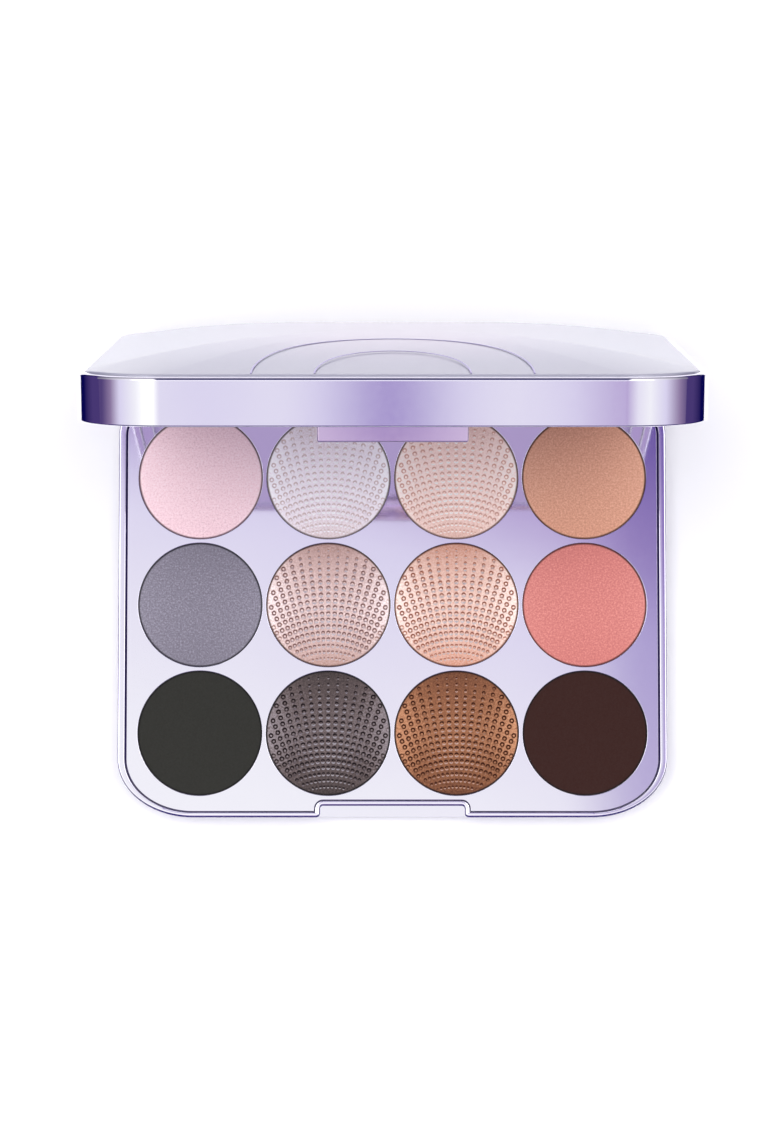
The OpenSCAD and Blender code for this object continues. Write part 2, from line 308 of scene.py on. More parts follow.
def cylinder_mesh(name, radius, start, length, place, steps=64, edge=0.0):
    """A cylinder along X with its ends' edges rounded."""
    profile = rounded((start, radius - edge), (start, radius), (start + edge, radius), 4)
    profile += rounded(
        (start + length - edge, radius), (start + length, radius), (start + length, radius - edge), 4
    )
    angles = np.linspace(0, 2 * math.pi, steps, endpoint=False)
    rings = [[(x, r * math.cos(a), r * math.sin(a)) for a in angles] for x, r in profile]
    return loft(name, rings, place=place)


def cut(piece, cutters):
    """Takes the cutters' meshes out of a piece, for good."""
    for mesh in cutters:
        cutter = bpy.data.objects.new("cutter", mesh)
        bpy.context.scene.collection.objects.link(cutter)
        modifier = piece.modifiers.new("cut", "BOOLEAN")
        modifier.operation = "DIFFERENCE"
        modifier.solver = "EXACT"
        modifier.object = cutter
        bpy.context.view_layer.update()
        cut_mesh = bpy.data.meshes.new_from_object(piece.evaluated_get(bpy.context.evaluated_depsgraph_get()))
        piece.modifiers.remove(modifier)
        piece.data = cut_mesh
        bpy.data.objects.remove(cutter)


def shape(name, mesh, cutters):
    """A mesh with cutters taken out of it."""
    holder = bpy.data.objects.new(name, mesh)
    bpy.context.scene.collection.objects.link(holder)
    cut(holder, cutters)
    made = holder.data
    bpy.data.objects.remove(holder)
    smooth_by_angle(made)
    return made


def relief_cutters(lengths_and_starts, place):
    return [
        cylinder_mesh("relief", KNUCKLE_R + KNUCKLE_RELIEF, start, length, place, 96)
        for start, length in lengths_and_starts
    ]


def base_relief_spans():
    length = LID_KNUCKLE_L + 2 * KNUCKLE_GAP
    return [(side * HINGE_X - length / 2, length) for side in (-1, 1)]


def lid_relief_spans():
    length = BASE_KNUCKLE_L + 2 * KNUCKLE_GAP
    return [
        (side * HINGE_X + end * BASE_KNUCKLE_REACH - length / 2, length)
        for side in (-1, 1)
        for end in (-1, 1)
    ]


def knuckle_mesh(name, start, length, place):
    """A hinge knuckle: a barrel that runs out tangentially into the wall that carries it."""
    bevel = mm(0.15)
    rise = mm(4.6)
    root = HINGE_BACK + mm(0.3)

    def section(r):
        tangent = math.asin(min(1.0, r / mm(3.8)))
        turned = np.linspace(tangent, -math.pi, 40)
        points = [(r * math.cos(a), r * math.sin(a)) for a in turned]
        return [(-root, rise * r / KNUCKLE_R)] + points + [(-root, 0)]

    profile = rounded((start, KNUCKLE_R - bevel), (start, KNUCKLE_R), (start + bevel, KNUCKLE_R), 4)
    profile += rounded(
        (start + length - bevel, KNUCKLE_R),
        (start + length, KNUCKLE_R),
        (start + length, KNUCKLE_R - bevel),
        4,
    )
    rings = [[(x, y, z) for y, z in section(r)] for x, r in profile]
    bore = cylinder_mesh("bore", PIN_R + mm(0.02), start - mm(1), length + mm(2), place, 48)
    return shape(name, loft(name, rings, place=place), [bore])


def deck_mesh():
    """A plate with rounded edges, filled between its outline and its round holes."""
    bevel = mm(0.1)
    curve = bpy.data.curves.new("deck", "CURVE")
    curve.dimensions = "2D"
    curve.fill_mode = "BOTH"
    curve.extrude = (DECK_TOP - DECK_BOTTOM) / 2 - bevel
    curve.bevel_depth = bevel
    curve.bevel_resolution = 3
    curve.offset = -bevel

    def add_loop(points):
        spline = curve.splines.new("POLY")
        spline.points.add(len(points) - 1)
        for point, (x, y) in zip(spline.points, points):
            point.co = (x, y, 0, 1)
        spline.use_cyclic_u = True

    rim = [r + gap for r, gap in zip(BASE_RIM, GROOVE)]
    add_loop(case_ring(*rim, True, True))
    for x, y in pan_centres():
        add_loop(arc(x, y, HOLE_R, HOLE_R, 0, 360, 160)[:-1])
    holder = bpy.data.objects.new("deck", curve)
    bpy.context.scene.collection.objects.link(holder)
    bpy.context.view_layer.update()
    mesh = bpy.data.meshes.new_from_object(holder.evaluated_get(bpy.context.evaluated_depsgraph_get()))
    bpy.data.objects.remove(holder)
    mesh.transform(Matrix.Translation((0, 0, (DECK_TOP + DECK_BOTTOM) / 2)))
    mesh.materials.clear()
    work = bmesh.new()
    work.from_mesh(mesh)
    bmesh.ops.remove_doubles(work, verts=work.verts, dist=1e-6)
    bmesh.ops.recalc_face_normals(work, faces=work.faces)
    work.to_mesh(mesh)
    work.free()
    smooth_by_angle(mesh, 30)
    for face in mesh.polygons:
        if abs(face.normal.z) > 0.999:
            face.use_smooth = False
    return mesh


def pan_centres():
    centres = []
    for node in sorted(frame["nodes"]):
        if node.startswith("powder_"):
            low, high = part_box(node)
            centres.append(((low.x + high.x) / 2, (low.y + high.y) / 2))
    return centres


# Powders

FOCUS = mm(26)
ROW_PITCH = mm(1.34)
COLUMN_TURN = 0.055
DIMPLE_R = mm(0.54)
DIMPLE_DEPTH = mm(0.2)


def dimple_field(x, y):
    """Height of the pressed dimples, set out in arcs about a point in front of the pan."""
    reach = np.hypot(x, y + FOCUS)
    turn = np.arctan2(x, y + FOCUS)
    row = np.round(reach / ROW_PITCH)
    column = np.round(turn / COLUMN_TURN)
    along = reach - row * ROW_PITCH
    across = (turn - column * COLUMN_TURN) * reach
    cell_y = row * ROW_PITCH * np.cos(column * COLUMN_TURN) - FOCUS
    cell_x = row * ROW_PITCH * np.sin(column * COLUMN_TURN)
    height = (cell_y + mm(0.5)) / POWDER_R
    width = cell_x / POWDER_R
    size = DIMPLE_R * np.clip(1.05 - 0.75 * height ** 2 + 0.45 * width ** 2, 0.42, 1)
    size = np.minimum(size, 0.47 * COLUMN_TURN * row * ROW_PITCH)
    wall = np.clip((1 - np.hypot(along, across) / size) / 0.62, 0, 1)
    inside = wall * wall * (3 - 2 * wall)
    rim = np.clip((POWDER_R - mm(0.35) - np.hypot(cell_x, cell_y)) / mm(0.5), 0, 1)
    return -DIMPLE_DEPTH * (size / DIMPLE_R) * inside * rim


def dimple_light_and_shade(x, y):
    """Painted light and shade on the dimples, by their slope: rear walls darker, front walls lighter, and
    steep walls darker towards the pan's left and right.
    """
    step = mm(0.04)
    steepest = 2.4 * DIMPLE_DEPTH / DIMPLE_R
    rise_x = (dimple_field(x + step, y) - dimple_field(x - step, y)) / (2 * step * steepest)
    rise_y = (dimple_field(x, y + step) - dimple_field(x, y - step)) / (2 * step * steepest)
    side = np.clip(np.abs(x) / POWDER_R, 0, 1)
    dark = np.clip(rise_y, 0, 1) + 1.2 * side ** 1.5 * np.hypot(rise_x, rise_y)
    light = np.clip(-rise_y, 0, 1) * (1 - side)
    return np.clip(light * 2.4 - dark * 1.5, -1.1, 1.3)


def disc_grid(count):
    """A square grid pressed into a unit disc, with its faces."""
    line = np.linspace(-1, 1, count)
    u, v = np.meshgrid(line, line)
    wide = np.abs(u) >= np.abs(v)
    big = np.where(wide, u, v)
    small = np.where(wide, v, u)
    with np.errstate(divide="ignore", invalid="ignore"):
        turn = np.where(big == 0, 0, small / big) * math.pi / 4
    x = np.where(wide, big * np.cos(turn), big * np.sin(turn))
    y = np.where(wide, big * np.sin(turn), big * np.cos(turn))
    faces = [
        (j * count + i, j * count + i + 1, (j + 1) * count + i + 1, (j + 1) * count + i)
        for j in range(count - 1)
        for i in range(count - 1)
    ]
    rim = (
        list(range(count))
        + [j * count + count - 1 for j in range(1, count)]
        + [(count - 1) * count + i for i in range(count - 2, -1, -1)]
        + [j * count for j in range(count - 2, 0, -1)]
    )
    return x.ravel(), y.ravel(), faces, rim


def powder_mesh(name, node, embossed):
    low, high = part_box(node)
    centre = (low + high) / 2
    count = 261 if embossed else 61
    x, y, faces, rim = disc_grid(count)
    edge = mm(0.12)
    x = x * (POWDER_R - edge)
    y = y * (POWDER_R - edge)
    distance = np.hypot(x, y) / POWDER_R
    z = high.z - mm(0.05) * distance ** 6
    if embossed:
        z = z + dimple_field(x, y)
    points = list(zip(x + centre.x, y + centre.y, z))
    last = rim
    for step in (0.35, 0.7, 1.0):
        turn = step * math.pi / 2
        scale = (POWDER_R - edge + edge * math.sin(turn)) / (POWDER_R - edge)
        drop = mm(0.05) + edge * (1 - math.cos(turn))
        start = len(points)
        for k in rim:
            points.append((x[k] * scale + centre.x, y[k] * scale + centre.y, high.z - drop))
        ring = list(range(start, len(points)))
        for k in range(len(rim)):
            n = (k + 1) % len(rim)
            faces.append((last[k], ring[k], ring[n], last[n]))
        last = ring
    start = len(points)
    for k in last:
        points.append((points[k][0], points[k][1], low.z))
    ring = list(range(start, len(points)))
    for k in range(len(rim)):
        n = (k + 1) % len(rim)
        faces.append((last[k], ring[k], ring[n], last[n]))
    faces.append(tuple(reversed(ring)))
    mesh = mesh_from(name, points, faces)
    # Painted light and shade of the dimples, stored on each point for the powder's material
    tone = mesh.attributes.new("dimple_light_and_shade", "FLOAT", "POINT")
    if embossed:
        places = np.empty(len(mesh.vertices) * 3)
        mesh.vertices.foreach_get("co", places)
        x, y, _ = places.reshape(-1, 3).T
        tone.data.foreach_set("value", dimple_light_and_shade(x - centre.x, y - centre.y).astype(np.float32))
    return mesh


# Lid pieces

def lid_rings():
    rings = []

    def add(insets, z):
        rings.append(at_height(case_ring(*insets), z))

    def turn(start, corner, end, steps=5):
        for inset_z in rounded(start, corner, end, steps):
            add(inset_z[:3], inset_z[3])

    lower = mm(0.35)
    upper = mm(0.65)
    inner = mm(0.25)
    seat = (PANEL_INSET + SEAT_W, PANEL_INSET + SEAT_W, LID_RIM[2] + SEAT_W)
    turn((*even(lower), LID_MOUTH), (*even(0), LID_MOUTH), (*even(0), LID_MOUTH + lower))
    turn((*even(0), LID_H - upper), (*even(0), LID_H), (*even(upper), LID_H), 6)
    seat_edge = PANEL_INSET - mm(0.15)
    turn(
        (*even(seat_edge), LID_H),
        (*even(PANEL_INSET), LID_H),
        (*even(PANEL_INSET), LID_H - mm(0.15)),
        3,
    )
    add(even(PANEL_INSET), SEAT_Z)
    add(seat, SEAT_Z)
    add(seat, FLANGE_Z)
    add(grown(LID_RIM, LEDGE_W), FLANGE_Z)
    add(grown(LID_RIM, LEDGE_W), FRAME_TOP)
    add(LID_RIM, FRAME_TOP)
    turn(
        (*LID_RIM, LID_MOUTH + inner),
        (*LID_RIM, LID_MOUTH),
        (*grown(LID_RIM, -inner), LID_MOUTH),
        4,
    )
    return rings


def dome(x, y):
    across = 1 - abs(2 * x / CASE_W) ** DOME_POWER_W
    along = 1 - abs(2 * y / CASE_D) ** DOME_POWER_D
    return LID_H + DOME_H * across * along


def panel_mesh():
    inset = PANEL_INSET + EDGE_GAP
    edge = mm(0.3)
    outline = case_ring(*even(inset + edge))
    sides = case_ring(*even(inset))
    rings = []
    for share in np.linspace(0.02, 1, 46):
        rings.append([(x * share, y * share, dome(x * share, y * share)) for x, y in outline])
    for turn in np.radians((22.5, 45, 67.5, 90)):
        rings.append([
            (
                x0 + (x1 - x0) * math.sin(turn),
                y0 + (y1 - y0) * math.sin(turn),
                dome(x1, y1) - edge * (1 - math.cos(turn)),
            )
            for (x0, y0), (x1, y1) in zip(outline, sides)
        ])
    for share in (1, 0.97, 0.94, 0.9, 0.8, 0.7, 0.5, 0.3, 0.1):
        rings.append([
            (x * share, y * share, max(PANEL_BOTTOM, dome(x * share, y * share) - PANEL_T))
            for x, y in sides
        ])
    return loft("domed_panel", rings, place=LID_FRAME)


def arc_line_mesh(name, radius):
    """A thin bevelled line that follows the dome round half a circle from the panel's front edge."""
    centre_y = FRONT_Y + PANEL_INSET + EDGE_GAP
    half = mm(0.17)
    rise = mm(0.035)
    across = ((-half, -rise), (-half * 0.45, rise), (half * 0.45, rise), (half, -rise), (0, -rise * 3))
    start = math.asin(mm(0.6) / radius)
    rings = []
    for turn in np.linspace(start, math.pi - start, 121):
        ring = []
        for out, up in across:
            x = (radius + out) * math.cos(turn)
            y = centre_y + (radius + out) * math.sin(turn)
            ring.append((x, y, dome(x, y) + up))
        rings.append(ring)
    return loft(name, rings, place=LID_FRAME)


def frame_mesh():
    """The frame round the mirror, with a sloped inner edge."""
    outer = grown(LID_RIM, EDGE_GAP)
    window = grown(LID_RIM, FRAME_W - EDGE_GAP)
    rings = []

    def add(insets, z):
        rings.append(at_height(case_ring(*insets), z))

    edge = mm(0.2)
    add(outer, FRAME_TOP)
    for inset_z in rounded(
        (*outer, FRAME_BOTTOM + edge), (*outer, FRAME_BOTTOM), (*grown(outer, edge), FRAME_BOTTOM), 4
    ):
        add(inset_z[:3], inset_z[3])
    lip = grown(window, -mm(0.5))
    for inset_z in rounded(
        (*lip, FRAME_BOTTOM), (*window, FRAME_BOTTOM), (*window, FRAME_BOTTOM + mm(0.4)), 4
    ):
        add(inset_z[:3], inset_z[3])
    add(window, MIRROR_TOP + mm(0.15))
    add(window, FRAME_TOP)
    return loft("mirror_surround", rings, closed=True, place=LID_FRAME)


def mirror_mesh():
    """A mirror plate with a narrow polished bevel round its face."""
    outline = grown(LID_RIM, FRAME_W)
    bevelled = grown(outline, mm(1.6))
    depth = mm(0.12)
    rings = [
        at_height(case_ring(*bevelled), MIRROR_BOTTOM),
        at_height(case_ring(*outline), MIRROR_BOTTOM + depth),
        at_height(case_ring(*outline), MIRROR_TOP),
    ]
    return loft("mirror_plate", rings, place=LID_FRAME)


def tongue_mesh():
    """The latch tongue, with a rounded tip and a shallow groove behind it."""
    front = LID_SHIFT + FRONT_Y + TONGUE_BACK
    back = front + TONGUE_T
    tip = mm(0.3)
    side = mm(0.3)
    high = FRAME_BOTTOM + mm(1)
    section = [(back, high), (front, high)]
    section += rounded((front, TONGUE_LOW + tip), (front, TONGUE_LOW), (front + tip, TONGUE_LOW), 4)
    section += rounded((back - tip, TONGUE_LOW), (back, TONGUE_LOW), (back, TONGUE_LOW + tip), 4)
    section += [(back, TONGUE_LOW + mm(1)), (back - mm(0.15), TONGUE_LOW + mm(1.2))]
    section += [(back - mm(0.15), TONGUE_LOW + mm(1.6)), (back, TONGUE_LOW + mm(1.8))]
    middle_y = (front + back) / 2
    middle_z = (TONGUE_LOW + high) / 2
    rings = []
    for x, shrink in rounded(
        (-TONGUE_HALF_W, side), (-TONGUE_HALF_W, 0), (-TONGUE_HALF_W + side, 0), 4
    ):
        rings.append(shrunk_section(section, x, shrink, middle_y, middle_z))
    for x, shrink in rounded(
        (TONGUE_HALF_W - side, 0), (TONGUE_HALF_W, 0), (TONGUE_HALF_W, side), 4
    ):
        rings.append(shrunk_section(section, x, shrink, middle_y, middle_z))
    return loft("latch", rings, place=LID_PLACE)


def shrunk_section(section, x, shrink, middle_y, middle_z):
    """A section at x whose points are drawn in towards its middle by a distance."""
    ring = []
    for y, z in section:
        dy = y - middle_y
        dz = z - middle_z
        inward_y = math.copysign(min(abs(dy), shrink), dy)
        inward_z = math.copysign(min(abs(dz), shrink), dz)
        ring.append((x, y - inward_y, z - inward_z))
    return ring


# Materials

def srgb(red, green, blue):
    """A colour given as 0 to 255 in sRGB, as linear RGBA."""
    def linear(value):
        value = value / 255
        return value / 12.92 if value <= 0.04045 else ((value + 0.055) / 1.055) ** 2.4
    return (linear(red), linear(green), linear(blue), 1)


class Tree:
    """The steps that a material and the studio's sky are both built from."""

    def __init__(self, tree):
        self.tree = tree

    def add(self, kind, **settings):
        node = self.tree.nodes.new(kind)
        for key, value in settings.items():
            setattr(node, key, value)
        return node

    def join(self, source, target):
        self.tree.links.new(source, target)

    def generated(self):
        """A place within the piece's own box, each way from 0 to 1."""
        split = self.add("ShaderNodeSeparateXYZ")
        self.join(self.add("ShaderNodeTexCoord").outputs["Generated"], split.inputs["Vector"])
        return split.outputs

    def math(self, operation, first, second=0.0):
        node = self.add("ShaderNodeMath", operation=operation)
        for value, socket in zip((first, second), node.inputs):
            if isinstance(value, (int, float)):
                socket.default_value = value
            else:
                self.join(value, socket)
        return node.outputs["Value"]

    def ramp(self, source, stops):
        """Colours that follow a value from 0 to 1, given as (value, colour) in rising order."""
        node = self.add("ShaderNodeValToRGB")
        band = node.color_ramp
        while len(band.elements) < len(stops):
            band.elements.new(0.5)
        for element, (at, colour) in zip(band.elements, stops):
            element.position = at
            element.color = (*colour[:3], 1)
        self.join(source, node.inputs["Fac"])
        return node.outputs["Color"]

    def mix(self, amount, under, over, mode="MIX"):
        node = self.add("ShaderNodeMix", data_type="RGBA", blend_type=mode)
        self.join(amount, node.inputs["Factor"])
        sockets = [socket for socket in node.inputs if socket.type == "RGBA"]
        for value, socket in zip((under, over), sockets):
            if isinstance(value, tuple):
                socket.default_value = (*value[:3], 1)
            else:
                self.join(value, socket)
        return next(socket for socket in node.outputs if socket.type == "RGBA")

    def spread(self, source, low, high, start=0.0, end=1.0):
        """A value's run from start to end, stretched to run from low to high."""
        node = self.add("ShaderNodeMapRange")
        node.inputs["From Min"].default_value = start
        node.inputs["From Max"].default_value = end
        node.inputs["To Min"].default_value = low
        node.inputs["To Max"].default_value = high
        self.join(source, node.inputs["Value"])
        return node.outputs["Result"]


class Nodes(Tree):
    """Builds one material's node tree in a few words."""

    def __init__(self, name):
        self.material = bpy.data.materials.new(name)
        self.material.use_nodes = True
        super().__init__(self.material.node_tree)
        self.shader = self.tree.nodes["Principled BSDF"]
        self.place = self.add("ShaderNodeTexCoord").outputs["Object"]

    def set(self, **values):
        for key, value in values.items():
            self.shader.inputs[key.replace("_", " ")].default_value = value

    def noise(self, scale, detail=2, roughness=0.5):
        node = self.add("ShaderNodeTexNoise")
        node.inputs["Scale"].default_value = scale
        node.inputs["Detail"].default_value = detail
        node.inputs["Roughness"].default_value = roughness
        self.join(self.place, node.inputs["Vector"])
        return node.outputs["Fac"]

    def cells(self, scale):
        node = self.add("ShaderNodeTexVoronoi")
        node.inputs["Scale"].default_value = scale
        self.join(self.place, node.inputs["Vector"])
        return node.outputs["Color"]

    def bump(self, height, strength, distance):
        node = self.add("ShaderNodeBump")
        node.inputs["Strength"].default_value = strength
        node.inputs["Distance"].default_value = distance
        self.join(height, node.inputs["Height"])
        self.join(node.outputs["Normal"], self.shader.inputs["Normal"])


def metallised(name, base, tint, roughness):
    """Plastic with a vacuum-metallised, lacquered finish and a very slight orange peel."""
    made = Nodes(name)
    colour = made.ramp(made.noise(60, 3), [(0.3, base), (0.7, tint)])
    made.join(colour, made.shader.inputs["Base Color"])
    made.set(Metallic=1.0, Coat_Weight=0.5, Coat_Roughness=0.04)
    gloss = made.spread(made.noise(900, 2), roughness * 0.8, roughness * 1.2)
    made.join(gloss, made.shader.inputs["Roughness"])
    made.bump(made.noise(300, 1), 0.001, 0.001)
    return made.material


def pearl_lacquer():
    """Pale lavender lacquer over fine mica, pink at the middle of the back."""
    made = Nodes("pearl_lacquer")
    across, _, height = made.generated()
    middle = made.math("ABSOLUTE", made.math("SUBTRACT", across, 0.5))
    cool = made.ramp(height, [
        (0.0, srgb(186, 186, 208)),
        (0.7, srgb(184, 185, 205)),
        (0.92, srgb(176, 176, 192)),
        (1.0, srgb(172, 171, 187)),
    ])
    warm = made.ramp(height, [
        (0.0, srgb(196, 184, 206)),
        (0.72, srgb(196, 184, 205)),
        (0.92, srgb(176, 174, 191)),
        (1.0, srgb(172, 171, 187)),
    ])
    blend = made.mix(made.spread(middle, 1, 0, 0.08, 0.36), cool, warm)
    grain = made.mix(made.spread(made.noise(2200, 2), 0, 0.1), blend, srgb(206, 202, 218))
    made.join(grain, made.shader.inputs["Base Color"])
    made.set(Metallic=0.3, Coat_Weight=0.7, Coat_Roughness=0.06)
    made.join(made.spread(made.noise(1200, 2), 0.27, 0.33), made.shader.inputs["Roughness"])
    made.bump(made.noise(1800, 1), 0.01, 0.0001)
    return made.material


def powder_material(name, shade):
    """Pressed powder: fine grain, mica flecks on a shimmer shade, a painted sheen across the pan, painted
    light and shade on the dimples, a painted highlight on their lit walls and a painted shadow round the
    edge.
    """
    made = Nodes(name)
    across, along, _ = made.generated()
    x = made.math("MULTIPLY", made.math("SUBTRACT", across, 0.5), 2)
    y = made.math("MULTIPLY", made.math("SUBTRACT", along, 0.5), 2)
    x_squared = made.math("MULTIPLY", x, x)
    y_squared = made.math("MULTIPLY", y, y)
    # Painted sheen: lighter towards the pan's left and right, darker towards its front and rear
    waist = made.math("SUBTRACT", x_squared, y_squared)
    level = made.spread(waist, 0.5 - shade.play, 0.5 + shade.play, -1, 1)
    speckle = made.math("SUBTRACT", made.noise(2600, 3, 0.75), 0.5)
    grain = made.math("MULTIPLY", speckle, shade.grain)
    # Painted light and shade of the dimples: below zero darkens, above zero lightens
    pressed = made.add("ShaderNodeAttribute", attribute_name="dimple_light_and_shade").outputs["Fac"]
    level = made.math("ADD", level, made.math("MULTIPLY", pressed, 0.7))
    level = made.math("ADD", level, grain)
    tone = made.ramp(level, [(0.0, shade.dark), (0.5, shade.middle), (1.0, shade.light)])
    distance = made.math("SQRT", made.math("ADD", x_squared, y_squared), 0)
    # Painted highlight: lit dimple walls mixed towards the glint colour
    tone = made.mix(made.spread(pressed, 0, 0.85, 0.35, 1.2), tone, shade.glint)
    # Painted shadow: a thin dark ring round the powder's edge
    edge = made.spread(distance, 0, 1, 0.968, 0.988)
    made.join(made.mix(edge, tone, shade.outline), made.shader.inputs["Base Color"])
    made.set(Metallic=shade.metallic)
    flecks = made.spread(made.cells(3600), shade.roughness - shade.sparkle, shade.roughness + 0.06)
    made.join(flecks, made.shader.inputs["Roughness"])
    made.bump(made.noise(3800, 3, 0.7), 0.2 + shade.sparkle, 0.00002)
    return made.material


def plain_material(name, base, other, roughness, metallic=0.0, scale=400):
    """A finish whose colour and gloss wander a little between two near tones."""
    made = Nodes(name)
    colour = made.ramp(made.noise(scale, 3), [(0.35, base), (0.65, other)])
    made.join(colour, made.shader.inputs["Base Color"])
    made.set(Metallic=metallic)
    gloss = made.spread(made.noise(scale * 3, 2), roughness * 0.85, roughness * 1.15)
    made.join(gloss, made.shader.inputs["Roughness"])
    made.bump(made.noise(scale * 5, 2), 0.05, 0.0002)
    return made.material


def groove_material():
    """The shadow in the gap round the deck: pale grey at the front and navy at the sides."""
    made = Nodes("groove_shadow")
    _, along, _ = made.generated()
    depth = made.ramp(along, [
        (0.05, srgb(168, 164, 184)),
        (0.14, srgb(70, 54, 120)),
    ])
    grain = made.mix(made.spread(made.noise(500, 3), 0, 0.15), depth, srgb(60, 44, 110))
    made.join(grain, made.shader.inputs["Base Color"])
    made.set(Metallic=0.2)
    made.join(made.spread(made.noise(900, 2), 0.45, 0.6), made.shader.inputs["Roughness"])
    return made.material


def mirror_material():
    made = Nodes("silvered_glass")
    colour = made.ramp(made.noise(20, 1), [(0.3, srgb(238, 241, 243)), (0.7, srgb(243, 245, 246))])
    made.join(colour, made.shader.inputs["Base Color"])
    made.set(Metallic=1.0, Coat_Weight=1.0, Coat_Roughness=0.0)
    made.join(made.spread(made.noise(300, 3), 0.0, 0.015), made.shader.inputs["Roughness"])
    return made.material


# How white the painted highlight on a dimple's lit wall is, and how dark the painted shadow round a powder's
# edge is against the darkest tone
GLINT_WHITE = 0.45
EDGE_SHADOW_SHARE = 0.35


class Shade:
    """A powder's look: its darkest, middle and lightest tones and how it shines."""

    def __init__(self, dark, middle, light, finish):
        # The dark and light tones are what the grain, the painted sheen and the painted dimple light and
        # shade run between
        self.dark, self.middle, self.light = (srgb(*tone) for tone in (dark, middle, light))
        self.metallic, self.roughness, self.sparkle, self.play, self.grain = FINISHES[finish]
        # glint: the painted highlight colour for lit dimple walls
        self.glint = tuple(GLINT_WHITE + (1 - GLINT_WHITE) * c for c in self.light[:3])
        # outline: the painted shadow colour for the ring round the powder's edge
        self.outline = tuple(EDGE_SHADOW_SHARE * c for c in self.dark[:3])
        self.embossed = finish in ("embossed", "frosted")


# Metallic, roughness, sparkle, painted sheen across the pan (lighter at the sides, darker at the front and
# rear), strength of grain
FINISHES = {
    "matte": (0.0, 0.8, 0.04, 0.0, 0.5),
    "satin": (0.3, 0.5, 0.12, 0.08, 1.5),
    "embossed": (0.6, 0.36, 0.06, 0.36, 1.3),
    "frosted": (0.05, 0.36, 0.06, 0.36, 1.2),
}

SHADES = {
    "powder_pink": Shade((204, 162, 172), (247, 212, 217), (255, 238, 242), "satin"),
    "powder_pearl": Shade((206, 184, 180), (244, 234, 240), (255, 255, 255), "frosted"),
    "powder_champagne": Shade((208, 160, 142), (250, 220, 208), (255, 250, 244), "frosted"),
    "powder_tan": Shade((176, 116, 90), (215, 155, 127), (246, 198, 170), "satin"),
    "powder_slate": Shade((88, 84, 96), (124, 119, 132), (172, 168, 182), "satin"),
    "powder_rose_beige": Shade((164, 126, 114), (206, 178, 172), (250, 238, 236), "embossed"),
    "powder_peach_gold": Shade((192, 124, 96), (222, 186, 170), (255, 240, 230), "embossed"),
    "powder_coral": Shade((178, 92, 86), (206, 122, 114), (238, 166, 154), "satin"),
    "powder_charcoal": Shade((28, 28, 23), (40, 40, 34), (52, 52, 46), "matte"),
    "powder_gunmetal": Shade((36, 28, 27), (90, 77, 76), (152, 142, 146), "embossed"),
    "powder_bronze": Shade((76, 36, 18), (138, 88, 58), (208, 150, 112), "embossed"),
    "powder_chocolate": Shade((40, 14, 7), (50, 20, 11), (60, 28, 18), "matte"),
}


def within_rim(x, y, insets):
    """Whether a point lies inside the case's outline, drawn in by these insets."""
    side, front, back = insets
    rear = y > 0
    cx = CASE_W / 2 - CORNER_W
    cy = BACK_Y - CORNER_D if rear else -(FRONT_Y + CORNER_D)
    rx = CORNER_W - side
    ry = CORNER_D - (back if rear else front)
    over_x = max(0, abs(x) - cx) / rx
    over_y = max(0, abs(y) - abs(cy)) / ry
    return math.hypot(over_x, over_y) < 1


def build_base(lilac, deck_finish, groove):
    reliefs = relief_cutters(base_relief_spans(), Matrix.Translation(AXIS))
    shell = shape("base_case", loft("base_case", base_rings()), reliefs)
    inner = grown(BASE_RIM, mm(0.05))
    # Faces of the inner wall and ledge below the rim take groove_shadow: painted shade in the recess round
    # the deck
    for face in shell.polygons:
        x, y, z = face.center
        sunk = mm(1.5) < z < BASE_TOP - mm(0.25)
        if sunk and abs(x) < CASE_W / 2 - inner[0] and FRONT_Y + inner[1] < y < BACK_Y - inner[2]:
            beside_notch = abs(x) < NOTCH_HALF_W + mm(0.5) and y < NOTCH_BACK + mm(0.5)
            face.material_index = 1 if within_rim(x, y, inner) and not beside_notch else 0
    add_piece("base_case", shell, "base", [lilac, groove], ["base_shell"])
    upside_down = Matrix.Translation(AXIS) @ Matrix.Scale(-1, 4, (0, 0, 1))
    for side, side_name in ((-1, "left"), (1, "right")):
        for end, end_name in ((-1, "outer"), (1, "inner")):
            middle = side * HINGE_X + end * side * BASE_KNUCKLE_REACH
            start = middle - BASE_KNUCKLE_L / 2
            name = f"base_knuckle_{side_name}_{end_name}"
            mesh = knuckle_mesh(name, start, BASE_KNUCKLE_L, upside_down)
            mesh.flip_normals()
            add_piece(name, mesh, "base", [lilac])
    deck = deck_mesh()
    centres = pan_centres()
    # The deck's side faces away from the holes take groove_shadow too: painted shade in the gap at its edge
    for face in deck.polygons:
        x, y, _ = face.center
        clear = all(math.hypot(x - px, y - py) > HOLE_R + mm(0.4) for px, py in centres)
        face.material_index = 1 if clear and abs(face.normal.z) < 0.95 else 0
    finishes = [deck_finish, groove]
    add_piece("deck_plate", deck, "base", finishes, ["deck_frame"], weighted=False)
    for node, shade in SHADES.items():
        name = node.replace("powder", "pressed")
        finish = powder_material(node + "_grain_and_painted_light", shade)
        mesh = powder_mesh(name, node, shade.embossed)
        add_piece(name, mesh, "base", [finish], [node], weighted=False)


